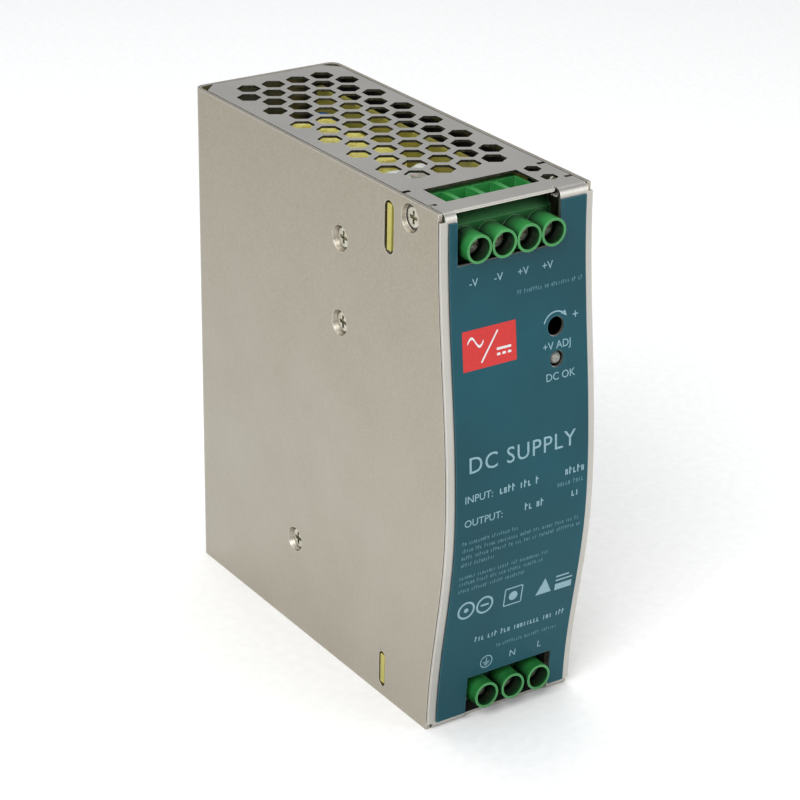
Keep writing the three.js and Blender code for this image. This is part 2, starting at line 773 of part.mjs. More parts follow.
// A wound ring standing on the main board.
function makeInductor() {
  const centre = [0, FRONT + 34, 70];
  const x0 = -2;
  const x1 = MAIN_BOARD_X - GAP;
  const ring = rod("x", x0, x1, 8.5, centre, 24);
  return ring.subtract(rod("x", x0 - 1, x1 + 1, 3.4, centre, 16));
}

// A disc capacitor on edge, with two leads to the main board.
function makeDisc() {
  const x = 5.5;
  const y = FRONT + 86.5;
  const z = 114.2;
  const disc = turned(
    "y",
    [
      [0, -2],
      [3.6, -2],
      [4.8, -0.9],
      [4.8, 0.9],
      [3.6, 2],
      [0, 2],
    ],
    [x, y, z],
    22,
  );
  const leads = [-2.5, 2.5].map((dz) =>
    box(x + 2, MAIN_BOARD_X - GAP, y - 0.35, y + 0.35, z + dz - 0.35, z + dz + 0.35),
  );
  return join(disc, ...leads);
}

// ---------- rail clip ----------
const CLIP_FRONT = BACK + GAP;
const SEAT = CLIP_FRONT + CLIP.plate;
const LIP = SEAT + CLIP.slot;
const CLIP_BACK = LIP + CLIP.lip;
const SPRING = { x: 0, y: BACK + GAP + 2, low: RAIL_Z - 9, high: RAIL_Z + 6 };

function railScrewPlaces() {
  return [
    [-10.5, RAIL_Z + 24],
    [10.5, RAIL_Z - 24],
  ];
}

// A lip that closes over one edge of the rail; up is +1 for the upper edge.
function railLip(x0, x1, up, edge) {
  const wall = [edge, edge + up * 1.4].sort((a, b) => a - b);
  const reach = [edge - up * 2.6, edge + up * 1.4].sort((a, b) => a - b);
  return [
    box(x0, x1, SEAT - 0.2, CLIP_BACK, wall[0], wall[1]),
    box(x0, x1, LIP, CLIP_BACK, reach[0], reach[1]),
  ];
}

function makeRailPlate() {
  const low = RAIL_Z - 28;
  const high = RAIL_Z + 28;
  const channel = LATCH.half + GAP;
  const plate = box(-CLIP.half, CLIP.half, CLIP_FRONT, SEAT, low, high);
  const hooks = [-1, 1].flatMap((side) => {
    const x = [side * 7, side * CLIP.half].sort((a, b) => a - b);
    return railLip(x[0], x[1], 1, RAIL_Z + RAIL_HALF + 0.1);
  });
  const opening = box(-channel, channel, CLIP_FRONT - 1, SEAT + 1, low - 1, RAIL_Z + 12);
  const holes = railScrewPlaces().map(([x, z]) => rod("y", BACK - 1, CLIP_BACK, 1.8, [x, 0, z], 16));
  const solid = cut(plate, opening, ...holes);
  return join(solid, ...hooks, ...latchGuides(), springStop());
}

// Two bridges that hold the latch flat against the case.
function latchGuides() {
  return [-1, 1].map((side) => {
    const wall = [side * (LATCH.half + GAP), side * (LATCH.half + 2.4)].sort((a, b) => a - b);
    const over = [side * (LATCH.half - 1.4), side * (LATCH.half + 2.4)].sort((a, b) => a - b);
    return join(
      box(wall[0], wall[1], CLIP_FRONT, SEAT + 1.3, RAIL_Z - 10, RAIL_Z + 10),
      box(over[0], over[1], SEAT + GAP, SEAT + 1.3, RAIL_Z - 10, RAIL_Z + 10),
    );
  });
}

// The bent tongue under the spring, carried across the latch window from one guide to the other.
function springStop() {
  const reach = LATCH.half + 1;
  return box(-reach, reach, SEAT + GAP, SEAT + 2.2, SPRING.low - 1.5, SPRING.low - GAP);
}

function makeRailLatch() {
  const low = RAIL_Z - 38;
  const strip = box(-LATCH.half, LATCH.half, CLIP_FRONT, SEAT, low, RAIL_Z + 9.5);
  const window = box(
    -LATCH.window,
    LATCH.window,
    CLIP_FRONT - 1,
    SEAT + 1,
    SPRING.low - 7,
    SPRING.high + GAP,
  );
  const lips = railLip(-LATCH.half, LATCH.half, -1, RAIL_Z - RAIL_HALF - 0.1);
  const pull = box(-4, 4, SEAT - 0.2, CLIP_BACK - 0.6, low, low + 1.3);
  const slot = box(-3, 3, CLIP_FRONT - 1, SEAT + 1, low + 3, low + 6.4);
  const cap = box(-2.4, 2.4, SEAT - 0.2, SEAT + 2.2, SPRING.high + GAP, SPRING.high + 1.6);
  return join(cut(strip, window, slot), ...lips, pull, cap);
}

class Helix extends THREE.Curve {
  constructor(radius, low, high, turns) {
    super();
    Object.assign(this, { radius, low, high, turns });
  }
  getPoint(t) {
    const angle = 2 * Math.PI * this.turns * t;
    const z = this.low + (this.high - this.low) * t;
    return new THREE.Vector3(this.radius * Math.cos(angle), this.radius * Math.sin(angle), z);
  }
}

function makeRailSpring() {
  const wire = 0.35;
  const turns = 6;
  const section = new THREE.Shape();
  section.absarc(0, 0, wire, 0, 2 * Math.PI, false);
  const path = new Helix(1.6, SPRING.low + wire, SPRING.high - wire, turns);
  const geometry = new THREE.ExtrudeGeometry(section, {
    steps: turns * 10,
    extrudePath: path,
    curveSegments: 3,
  });
  geometry.translate(SPRING.x, SPRING.y, 0);
  return toSolid(geometry);
}

// ---------- assembly ----------
const MATERIALS = {
  steel: { color: 0xb7b3a8, roughness: 0.42, metalness: 0.9 },
  label: { color: 0x245868, roughness: 0.45, metalness: 0 },
  film: { color: 0x121212, roughness: 0.5, metalness: 0 },
  screw: { color: 0xc9c4b4, roughness: 0.3, metalness: 1 },
  spring: { color: 0x9a9a9a, roughness: 0.3, metalness: 1 },
  green: { color: 0x1f7a35, roughness: 0.4, metalness: 0 },
  brass: { color: 0xc2b280, roughness: 0.3, metalness: 1 },
  board: { color: 0xa8963a, roughness: 0.6, metalness: 0 },
  blue: { color: 0x2b5fa8, roughness: 0.4, metalness: 0 },
  white: { color: 0xe6e2d6, roughness: 0.5, metalness: 0 },
  lens: { color: 0x8b8f88, roughness: 0.35, metalness: 0 },
  ferrite: { color: 0x33343a, roughness: 0.7, metalness: 0 },
  tape: { color: 0xd8b92c, roughness: 0.35, metalness: 0 },
  copper: { color: 0xa85b2a, roughness: 0.35, metalness: 1 },
  sleeve: { color: 0x20242c, roughness: 0.4, metalness: 0 },
  aluminium: { color: 0xb9bbbd, roughness: 0.45, metalness: 1 },
  epoxy: { color: 0x1b1b1d, roughness: 0.55, metalness: 0 },
};

const root = new THREE.Group();
root.name = "din_rail_power_supply";
const palette = Object.fromEntries(
  Object.entries(MATERIALS).map(([slot, look]) => [slot, new THREE.MeshStandardMaterial(look)]),
);

function put(name, slot, solid) {
  const mesh = new THREE.Mesh(toGeometry(solid), palette[slot]);
  mesh.name = name;
  root.add(mesh);
}

function putCase() {
  put("chassis", "steel", makeChassis());
  put("cover", "steel", makeCover());
  put("front_label", "label", makeFrontLabel());
  put("insulation_sheet", "film", makeInsulation());
}

function putCaseScrews() {
  const left = -WIDTH / 2 + SCREW_SINK;
  SINK_SCREWS.forEach((screw, i) => {
    put(`sink_screw_${i + 1}`, "screw", countersunkScrew(7.1).translate([left, FRONT + screw.y, screw.z]));
  });
  const y = FRONT + COVER_SCREW.y;
  put("cover_screw_left", "screw", countersunkScrew(4.1).translate([left, y, COVER_SCREW.z]));
  const mirrored = countersunkScrew(4.1).rotate([0, 0, 180]);
  put("cover_screw_right_top", "screw", mirrored.translate([-left, y, COVER_SCREW.z]));
  put("cover_screw_right_low", "screw", mirrored.translate([-left, y, RIGHT_LOW_SCREW_Z]));
}

function putTerminals(name, block) {
  put(`${name}_block`, "green", makeBlock(block));
  for (let i = 0; i < block.poles; i++) {
    put(`${name}_screw_${i + 1}`, "screw", terminalScrew(block, i));
    put(`${name}_cage_${i + 1}`, "brass", makeCage(block, i));
  }
}

function putContacts() {
  put("output_contact_1", "brass", makeContact(OUTPUT, 0, 1));
  put("output_contact_2", "brass", makeContact(OUTPUT, 2, 3));
  for (let i = 0; i < INPUT.poles; i++) {
    put(`input_contact_${i + 1}`, "brass", makeContact(INPUT, i, i));
  }
}

function putBoards() {
  put("main_board", "board", makeMainBoard());
  put("output_board", "board", makeOutputBoard());
  put("input_board", "board", makeInputBoard());
  put("trimmer_body", "blue", makeTrimmerBody());
  put("trimmer_rotor", "white", makeTrimmerRotor());
  put("status_led", "lens", makeStatusLed());
}

function putPowerParts() {
  put("transformer_core", "ferrite", makeTransformerCore());
  put("transformer_winding", "tape", makeTransformerWinding());
  put("transformer_tape", "tape", makeTransformerTape());
  put("filter_core", "ferrite", makeFilterCore());
  put("filter_winding", "copper", makeFilterWinding());
  put("bulk_capacitor", "sleeve", makeCan(12.5, -17, 84, 56));
  put("output_capacitor_1", "sleeve", makeCan(6.3, -13, 54, 70));
  put("output_capacitor_2", "sleeve", makeCan(6.3, -13, 54, 56));
  put("x_capacitor", "tape", makeXCapacitor());
  put("fuse", "white", makeFuse());
  put("bridge_rectifier", "epoxy", makeBridge());
  put("primary_sink", "aluminium", makeSink(50, 66, 63, 12, 40));
  put("power_transistor", "epoxy", makePackage(58.3, 26));
  put("secondary_sink", "aluminium", makeSink(29, 42, 29, 80, 116));
  put("output_diode", "epoxy", makePackage(32.4, 98));
  put("output_inductor", "copper", makeInductor());
  put("disc_capacitor", "blue", makeDisc());
}

function putRailClip() {
  put("rail_plate", "steel", makeRailPlate());
  put("rail_latch", "steel", makeRailLatch());
  put("rail_spring", "spring", makeRailSpring());
  railScrewPlaces().forEach(([x, z], i) => {
    put(`rail_screw_${i + 1}`, "screw", panScrew(5).translate([x, SEAT + GAP, z]));
  });
}

putCase();
putCaseScrews();
putTerminals("output", OUTPUT);
putTerminals("input", INPUT);
putContacts();
putBoards();
putPowerParts();
putRailClip();

export default root;
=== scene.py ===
"""Looks of the DIN rail power supply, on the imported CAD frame.

Metres: X is the width, the front faces -Y, Z is up. Places on the printed film are in millimetres.
"""
import json
import math
import random

import bmesh
import bpy
from mathutils import Matrix, Vector


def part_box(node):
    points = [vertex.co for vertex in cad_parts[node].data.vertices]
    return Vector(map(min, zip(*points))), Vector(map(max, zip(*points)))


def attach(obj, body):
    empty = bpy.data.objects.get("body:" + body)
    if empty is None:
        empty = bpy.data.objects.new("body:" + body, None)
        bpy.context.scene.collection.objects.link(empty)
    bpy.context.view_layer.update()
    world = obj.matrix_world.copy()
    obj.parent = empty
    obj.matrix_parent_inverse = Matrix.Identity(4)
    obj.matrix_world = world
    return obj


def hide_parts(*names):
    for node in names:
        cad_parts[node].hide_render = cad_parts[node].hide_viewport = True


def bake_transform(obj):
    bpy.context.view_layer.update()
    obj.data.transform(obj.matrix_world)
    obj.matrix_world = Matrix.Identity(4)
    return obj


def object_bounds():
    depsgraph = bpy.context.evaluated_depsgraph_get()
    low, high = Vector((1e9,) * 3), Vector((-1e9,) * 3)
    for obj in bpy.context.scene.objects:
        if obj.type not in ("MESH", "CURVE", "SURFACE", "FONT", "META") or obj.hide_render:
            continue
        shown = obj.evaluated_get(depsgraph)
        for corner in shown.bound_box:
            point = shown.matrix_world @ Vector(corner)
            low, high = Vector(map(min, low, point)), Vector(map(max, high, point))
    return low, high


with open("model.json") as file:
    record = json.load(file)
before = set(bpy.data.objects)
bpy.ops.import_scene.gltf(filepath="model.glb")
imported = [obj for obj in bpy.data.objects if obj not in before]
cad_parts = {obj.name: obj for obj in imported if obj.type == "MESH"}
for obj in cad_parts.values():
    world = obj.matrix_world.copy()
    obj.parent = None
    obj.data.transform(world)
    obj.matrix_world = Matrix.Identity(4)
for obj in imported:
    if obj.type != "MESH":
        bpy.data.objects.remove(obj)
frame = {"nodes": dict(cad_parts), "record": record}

CAD_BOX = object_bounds()
MM = 0.001
HEIGHT = CAD_BOX[1].z

# The curved front: how far it stands out, and the height at which it stands out most.
BULGE = 5.3 * MM
BULGE_Z = 54 * MM

# The printed film: its face, about half its thickness, and the thickness of the ink on it.
FILM_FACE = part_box("front_label")[0].y
FILM_HALF = 0.12 * MM
INK = 0.04 * MM

# The terminal tubes are open from the front of their block to here.
TUBE_DEPTH = 9 * MM
TUBES_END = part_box("output_block")[0].y + TUBE_DEPTH

# Mesh clean-up: the distance that joins corners, the angle of a flat stretch and that of a sharp edge.
WELD = 0.001 * MM
FLAT_ANGLE = math.radians(0.2)
SHARP_ANGLE = math.radians(32)

# Numbered sockets of the mix node when it mixes colours.
MIX_FACTOR = 0
MIX_FIRST = 6
MIX_SECOND = 7
MIX_RESULT = 2


# ---------- curved front ----------
def bulge_at(z):
    """How far the front stands forward of its top edge at a height."""
    span = HEIGHT - BULGE_Z if z > BULGE_Z else BULGE_Z
    return BULGE * (1 + math.cos(math.pi * (z - BULGE_Z) / span)) / 2


def film_y(z, lift):
    """The place of the printed film's face at a height, or lift in front of it."""
    return FILM_FACE + BULGE - bulge_at(z) - lift


# ---------- node materials ----------
class Finish:
    """A node material while it is being made. Lengths are metres and places are the row frame's."""

    def __init__(self, name, **sockets):
        self.material = bpy.data.materials.new(name)
        self.material.use_nodes = True
        self.tree = self.material.node_tree
        self.shader = self.tree.nodes["Principled BSDF"]
        self.place = self.node("ShaderNodeTexCoord").outputs["Object"]
        for socket, value in sockets.items():
            self.shader.inputs[socket.replace("_", " ")].default_value = value

    def node(self, kind, links=None, **settings):
        """A new node, with each socket in links joined to a socket or set to a value."""
        made = self.tree.nodes.new(kind)
        for key, value in settings.items():
            setattr(made, key, value)
        for socket, value in (links or {}).items():
            if isinstance(value, bpy.types.NodeSocket):
                self.tree.links.new(value, made.inputs[socket])
            else:
                made.inputs[socket].default_value = value
        return made

    def stretched(self, x, y, z):
        """Places scaled along each axis, for grain that runs one way."""
        return self.node("ShaderNodeMapping", {"Vector": self.place, "Scale": (x, y, z)}).outputs["Vector"]

    def noise(self, size, detail=3, vector=None):
        """Noise from 0 to 1 whose blotches are about size across."""
        links = {"Vector": vector or self.place, "Scale": 1 / size, "Detail": detail, "Roughness": 0.5}
        return self.node("ShaderNodeTexNoise", links).outputs["Fac"]

    def cells(self, size):
        """Distance from the middle of cells that are about size across."""
        links = {"Vector": self.place, "Scale": 1 / size}
        return self.node("ShaderNodeTexVoronoi", links, feature="F1").outputs["Distance"]

    def bands(self, size, direction, distortion):
        """Even bands, size apart, across one axis."""
        links = {"Vector": self.place, "Scale": math.pi / (10 * size), "Distortion": distortion, "Detail": 0}
        return self.node("ShaderNodeTexWave", links, bands_direction=direction).outputs["Fac"]

    def level(self, value, low, high, start=0.3, end=0.7):
        """A value taken from start..end to low..high."""
        links = {"Value": value, "From Min": start, "From Max": end, "To Min": low, "To Max": high}
        return self.node("ShaderNodeMapRange", links).outputs["Result"]

    def mix(self, factor, first, second):
        """The first colour at factor 0 and the second at 1."""
        made = self.node("ShaderNodeMix", data_type="RGBA")
        for socket, value in ((MIX_FACTOR, factor), (MIX_FIRST, first), (MIX_SECOND, second)):
            if isinstance(value, bpy.types.NodeSocket):
                self.tree.links.new(value, made.inputs[socket])
            else:
                made.inputs[socket].default_value = value
        return made.outputs[MIX_RESULT]

    def edges(self, reach):
        """1 along bevelled edges and 0 on flat faces."""
        start = 0.02
        end = 0.25
        rounded = self.node("ShaderNodeBevel", {"Radius": reach}, samples=4).outputs["Normal"]
        plain = self.node("ShaderNodeNewGeometry").outputs["Normal"]
        facing = self.node("ShaderNodeVectorMath", {0: rounded, 1: plain}, operation="DOT_PRODUCT")
        return self.level(facing.outputs["Value"], 1.0, 0.0, 1 - end, 1 - start)

    def recess(self, reach, depth):
        """A mask for painted shade: 0 in narrow recesses and 1 in the open, and 1 everywhere further back
        than a depth.
        """
        sky = self.node("ShaderNodeAmbientOcclusion", {"Distance": reach}, samples=6).outputs["AO"]
        y = self.node("ShaderNodeSeparateXYZ", {"Vector": self.place}).outputs["Y"]
        links = {0: self.level(sky, 0, 1, 0.3, 0.85), 1: self.level(y, 0, 1, depth - 1 * MM, depth)}
        return self.node("ShaderNodeMath", links, operation="MAXIMUM").outputs["Value"]

    def colour(self, value):
        """Gives the shader its colour."""
        self.tree.links.new(value, self.shader.inputs["Base Color"])

    def roughness(self, value):
        """Gives the shader its roughness."""
        self.tree.links.new(value, self.shader.inputs["Roughness"])

    def bump(self, *layers):
        """Stacks (height, distance) layers and gives the shader the sum as its normal."""
        normal = None
        for height, distance in layers:
            links = {"Height": height, "Distance": distance, "Strength": 1.0}
            if normal:
                links["Normal"] = normal
            normal = self.node("ShaderNodeBump", links).outputs["Normal"]
        self.tree.links.new(normal, self.shader.inputs["Normal"])


def srgb(red, green, blue):
    """A linear colour from the 0 to 255 values it shows as."""

    def linear(value):
        value /= 255
        return value / 12.92 if value <= 0.04045 else ((value + 0.055) / 1.055) ** 2.4

    return (linear(red), linear(green), linear(blue), 1)


def steel(name, shade, light, top):
    """Zinc-plated sheet: rolled grain up the panel, soft clouds in the plating, painted shade that darkens it
    towards the top, and a painted highlight along its edges.
    """
    f = Finish(name, Metallic=1.0)
    clouds = f.noise(16 * MM, 4)
    specks = f.noise(0.6 * MM, 2)
    grain = f.noise(1.0, 3, f.stretched(1800, 1800, 160))
    height = f.node("ShaderNodeSeparateXYZ", {"Vector": f.place}).outputs["Z"]
    base = f.mix(f.level(clouds, 0, 1), shade, light)
    # Painted shade: the colour is pulled towards the darker top colour over the upper part of the panel.
    base = f.mix(f.level(height, 0, 0.5, 0.3 * HEIGHT, HEIGHT), base, top)
    base = f.mix(f.level(specks, 0, 0.3), base, srgb(188, 183, 172))
    # Painted highlight: a paler colour along the bevelled edges.
    f.colour(f.mix(f.edges(0.35 * MM), base, srgb(232, 229, 221)))
    f.roughness(f.level(f.mix(0.6, clouds, grain), 0.36, 0.46))
    f.bump((clouds, 0.02 * MM), (grain, 0.006 * MM), (specks, 0.004 * MM))
    return f.material


def shaded_cut_edge():
    """The punched walls of the vents: raw steel, dull, and painted dark as shade inside the holes."""
    f = Finish("shaded_cut_edge", Metallic=1.0)
    tears = f.noise(1.0, 3, f.stretched(1600, 1600, 300))
    # Painted shade: dark colours for the walls deep in the vent holes.
    f.colour(f.mix(f.level(tears, 0, 1), srgb(66, 64, 54), srgb(92, 90, 78)))
    f.roughness(f.level(tears, 0.45, 0.62))
    f.bump((tears, 0.01 * MM))
    return f.material


def clip_steel():
    """Thicker zinc-plated clip steel, a little darker, with drawn lines and a painted highlight along its
    edges.
    """
    f = Finish("clip_steel", Metallic=1.0)
    clouds = f.noise(6 * MM, 4)
    lines = f.noise(1.0, 3, f.stretched(1500, 1500, 120))
    base = f.mix(f.level(clouds, 0, 1), srgb(168, 168, 164), srgb(196, 196, 190))
    # Painted highlight: a paler colour along the bevelled edges.
    f.colour(f.mix(f.edges(0.35 * MM), base, srgb(232, 232, 228)))
    f.roughness(f.level(lines, 0.28, 0.45))
    f.bump((clouds, 0.04 * MM), (lines, 0.008 * MM))
    return f.material


def film():
    """Printed polyester film: teal blue with a fine matt grain, and a painted highlight along its edges."""
    f = Finish("label", IOR=1.5, Specular_IOR_Level=0.25)
    clouds = f.noise(22 * MM, 3)
    grain = f.cells(0.22 * MM)
    base = f.mix(f.level(clouds, 0, 1), srgb(2, 62, 72), srgb(6, 71, 82))
    # Painted highlight: a paler teal along the bevelled edges.
    f.colour(f.mix(f.edges(0.3 * MM), base, srgb(64, 108, 122)))
    f.roughness(f.level(f.mix(0.5, clouds, grain), 0.4, 0.56))
    f.bump((clouds, 0.05 * MM), (grain, 0.008 * MM))
    return f.material


def ink(name, shade, light):
    """Screen-printed ink, slightly uneven in cover."""
    f = Finish(name)
    patchy = f.noise(0.5 * MM, 3)
    f.colour(f.mix(f.level(patchy, 0, 1), shade, light))
    f.roughness(f.level(patchy, 0.42, 0.6))
    f.bump((patchy, 0.004 * MM))
    return f.material


def moulded(name, shade, light, edge_highlight, low=0.3, high=0.45, blotch=5 * MM, bore_shade=None):
    """Moulded plastic: faint flow clouds, fine eroded grain and edges made paler by a painted highlight.

    Where a colour for the bores is given, it is painted shade far inside the terminal tubes.
    """
    f = Finish(name, IOR=1.5)
    clouds = f.noise(blotch, 4)
    grain = f.noise(0.12 * MM, 2)
    base = f.mix(f.level(clouds, 0, 1), shade, light)
    if bore_shade:
        # Painted shade deep inside the terminal tubes.
        base = f.mix(f.recess(9 * MM, TUBES_END), bore_shade, base)
    # Painted highlight: a paler colour along the bevelled edges.
    f.colour(f.mix(f.edges(0.2 * MM), base, edge_highlight))
    f.roughness(f.level(f.mix(0.5, clouds, grain), low, high))
    f.bump((clouds, 0.03 * MM), (grain, 0.004 * MM))
    return f.material


def plated(name, shade, light):
    """Plated metal with fine turning marks and a painted highlight along its edges."""
    f = Finish(name, Metallic=1.0)
    clouds = f.noise(1.2 * MM, 4)
    lines = f.noise(1.0, 2, f.stretched(2500, 900, 2500))
    base = f.mix(f.level(clouds, 0, 1), shade, light)
    # Painted highlight: a near-white colour along the bevelled edges.
    f.colour(f.mix(f.edges(0.12 * MM), base, srgb(240, 240, 238)))
    f.roughness(f.level(f.mix(0.5, clouds, lines), 0.2, 0.38))
    f.bump((clouds, 0.01 * MM), (lines, 0.004 * MM))
    return f.material


def laminate():
    """Bare glass-epoxy laminate: a woven cloth shows through yellow-green resin; its edges carry a painted
    highlight.
    """
    f = Finish("board", IOR=1.55)
    weave = f.mix(0.5, f.bands(0.45 * MM, "Y", 0.6), f.bands(0.45 * MM, "Z", 0.6))
    clouds = f.noise(8 * MM, 3)
    base = f.mix(f.level(weave, 0, 1), srgb(150, 140, 52), srgb(186, 176, 84))
    base = f.mix(f.level(clouds, 0, 0.4), base, srgb(122, 128, 50))
    # Painted highlight: a paler colour along the bevelled edges.
    f.colour(f.mix(f.edges(0.2 * MM), base, srgb(205, 196, 120)))
    f.roughness(f.level(clouds, 0.3, 0.5))
    f.bump((weave, 0.012 * MM))
    return f.material


def ferrite():
    """Sintered ferrite: dark, matt and pitted."""
    f = Finish("ferrite", IOR=1.9)
    pits = f.cells(0.5 * MM)
    clouds = f.noise(4 * MM, 4)
    f.colour(f.mix(f.level(clouds, 0, 1), srgb(40, 39, 42), srgb(62, 60, 62)))
    f.roughness(f.level(pits, 0.75, 0.5))
    f.bump((clouds, 0.05 * MM), (pits, 0.03 * MM))
    return f.material


def tape():
    """Yellow polyester tape, wrapped in overlapping turns."""
    f = Finish("tape", IOR=1.6)
    turns = f.bands(2.4 * MM, "Z", 0.4)
    creases = f.noise(2.2 * MM, 5)
    base = f.mix(f.level(creases, 0, 1), srgb(212, 196, 84), srgb(240, 232, 132))
    f.colour(f.mix(f.level(turns, 0.25, 0, 0.1, 0.4), base, srgb(168, 148, 48)))
    f.roughness(f.level(creases, 0.2, 0.4))
    f.bump((turns, 0.12 * MM), (creases, 0.12 * MM))
    return f.material


def windings(name, shade, light, direction):
    """Enamelled wire laid side by side, with painted shade in the grooves between the wires."""
    f = Finish(name, Metallic=0.7)
    wires = f.bands(0.7 * MM, direction, 0.2)
    clouds = f.noise(3 * MM, 3)
    base = f.mix(f.level(clouds, 0, 1), shade, light)
    # Painted shade: a dark colour in the grooves between the wires.
    f.colour(f.mix(f.level(wires, 0.8, 0, 0.1, 0.5), base, srgb(60, 28, 12)))
    f.roughness(f.level(clouds, 0.25, 0.4))
    f.bump((wires, 0.3 * MM))
    return f.material


def brushed_aluminium():
    """Extruded heat-sink aluminium with lines along the extrusion and a painted highlight along its edges."""
    f = Finish("aluminium", Metallic=1.0)
    lines = f.noise(1.0, 3, f.stretched(2200, 2200, 90))
    clouds = f.noise(7 * MM, 3)
    base = f.mix(f.level(clouds, 0, 1), srgb(176, 178, 180), srgb(204, 206, 207))
    # Painted highlight: a near-white colour along the bevelled edges.
    f.colour(f.mix(f.edges(0.25 * MM), base, srgb(236, 237, 238)))
    f.roughness(f.level(lines, 0.25, 0.45))
    f.bump((lines, 0.02 * MM))
    return f.material


def milky_lens():
    """The unlit lamp: milky grey epoxy dome."""
    f = Finish("lens", IOR=1.5, Transmission_Weight=0.25, Subsurface_Weight=0.4, Subsurface_Scale=0.6 * MM)
    haze = f.noise(0.7 * MM, 3)
    f.colour(f.mix(f.level(haze, 0, 1), srgb(132, 134, 128), srgb(160, 161, 154)))
    f.roughness(f.level(haze, 0.22, 0.36))
    f.bump((haze, 0.01 * MM))
    return f.material


def silicone():
    """White silicone adhesive: soft, slightly translucent lumps."""
    f = Finish("silicone", IOR=1.43, Subsurface_Weight=0.5, Subsurface_Scale=1.2 * MM)
    lumps = f.noise(1.6 * MM, 4)
    f.colour(f.mix(f.level(lumps, 0, 1), srgb(214, 214, 204), srgb(242, 242, 236)))
    f.roughness(f.level(lumps, 0.3, 0.48))
    f.bump((lumps, 0.15 * MM))
    return f.material


def paper():
    """The pale floor, with a faint tooth."""
    f = Finish("floor")
    tooth = f.noise(2.5 * MM, 4)
    f.colour(f.mix(f.level(tooth, 0, 1), srgb(236, 236, 234), srgb(241, 241, 239)))
    f.roughness(f.level(tooth, 0.7, 0.85))
    f.bump((tooth, 0.02 * MM))
    return f.material


# Painted highlight colour for the edges of the dark plastic parts.
GREY_EDGE_HIGHLIGHT = srgb(120, 120, 122)
SLOT_FINISHES = {
    "steel": steel("steel", srgb(168, 161, 148), srgb(176, 170, 158), srgb(152, 143, 122)),
    "label": film(),
    "film": moulded("film", srgb(14, 14, 15), srgb(24, 24, 26), srgb(60, 60, 62), 0.25, 0.4, 20 * MM),
    "screw": plated("screw", srgb(178, 174, 158), srgb(214, 211, 196)),
    "spring": plated("spring", srgb(150, 150, 150), srgb(190, 190, 192)),
    # The green blocks carry painted shade far inside their tubes.
    "green": moulded(
        "green", srgb(36, 120, 54), srgb(48, 136, 66), srgb(118, 184, 124), 0.26, 0.4, bore_shade=srgb(4, 20, 9)
    ),
    "brass": plated("brass", srgb(186, 168, 128), srgb(216, 202, 164)),
    "board": laminate(),
    "blue": moulded("blue", srgb(14, 66, 118), srgb(26, 88, 146), srgb(90, 140, 190), 0.15, 0.3),
    "white": moulded("white", srgb(214, 214, 208), srgb(236, 236, 230), srgb(246, 246, 242)),
    "lens": milky_lens(),
    "ferrite": ferrite(),
    "tape": tape(),
    "copper": windings("copper", srgb(176, 92, 46), srgb(206, 122, 64), "Z"),
    "sleeve": moulded("sleeve", srgb(20, 20, 26), srgb(34, 34, 42), srgb(80, 80, 90), 0.2, 0.35),
    "aluminium": brushed_aluminium(),
    "epoxy": moulded("epoxy", srgb(22, 22, 23), srgb(34, 34, 35), GREY_EDGE_HIGHLIGHT, 0.4, 0.6),
}
CLIP_STEEL = clip_steel()
SHADED_CUT_EDGE = shaded_cut_edge()
# A lighter, cooler copy of the steel for the cover: painted light, because its top faces the lamps.
COVER_STEEL_PAINTED_LIGHTER = steel("cover_steel_painted_lighter", srgb(182, 180, 174), srgb(192, 190, 185), srgb(176, 174, 166))
PALE_INK = ink("pale_ink", srgb(110, 146, 156), srgb(132, 165, 174))
FAINT_INK = ink("faint_ink", srgb(60, 106, 118), srgb(78, 122, 133))
RED_INK = ink("red_ink", srgb(178, 20, 16), srgb(196, 32, 26))
WHITE_INK = ink("white_ink", srgb(196, 198, 196), srgb(214, 216, 214))
SILICONE = silicone()

# ---------- carried-over CAD nodes ----------
SOFT_EDGE = {
    "cover": 0.12,
    "chassis": 0.12,
    "rail_plate": 0.15,
    "rail_latch": 0.15,
    "output_block": 0.12,
    "input_block": 0.12,
}
SMALL_EDGE = 0.06
NODE_FINISHES = {"cover": COVER_STEEL_PAINTED_LIGHTER, "rail_plate": CLIP_STEEL, "rail_latch": CLIP_STEEL}


def soften(node, width):
    """Rounds a CAD node's edges and smooths its curved faces with modifiers, after clearing its split normals
    and sharp marks; its vertices are not moved.
    """
    piece = frame["nodes"][node]
    mesh = piece.data
    for name in ("custom_normal", "sharp_edge", "sharp_face"):
        if name in mesh.attributes:
            mesh.attributes.remove(mesh.attributes[name])
    mesh.shade_smooth()
    weld = piece.modifiers.new("weld", "WELD")
    weld.merge_threshold = WELD
    flat = piece.modifiers.new("flat", "DECIMATE")
    flat.decimate_type = "DISSOLVE"
    flat.angle_limit = FLAT_ANGLE
    bevel = piece.modifiers.new("bevel", "BEVEL")
    bevel.width = width
    bevel.segments = 2
    bevel.limit_method = "ANGLE"
    bevel.angle_limit = SHARP_ANGLE
    bevel.use_clamp_overlap = True
    piece.modifiers.new("normals", "WEIGHTED_NORMAL").keep_sharp = True


def paint_shade_on_vent_walls():
    """Gives the cut edge finish, painted dark as shade, to the upright walls of the holes through the top and
    bottom plates.
    """
    mesh = frame["nodes"]["cover"].data
    mesh.materials.append(SHADED_CUT_EDGE)
    low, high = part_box("cover")
    from_edge = 1.5 * MM
    from_front = 10 * MM
    plate = 0.5 * MM
    level = 0.1
    for face in mesh.polygons:
        centre = face.center
        inside = low.x + from_edge < centre.x < high.x - from_edge
        inside = inside and low.y + from_front < centre.y < high.y - from_edge
        through = min(centre.z - low.z, high.z - centre.z) < plate
        if inside and through and abs(face.normal.z) < level:
            face.material_index = 1


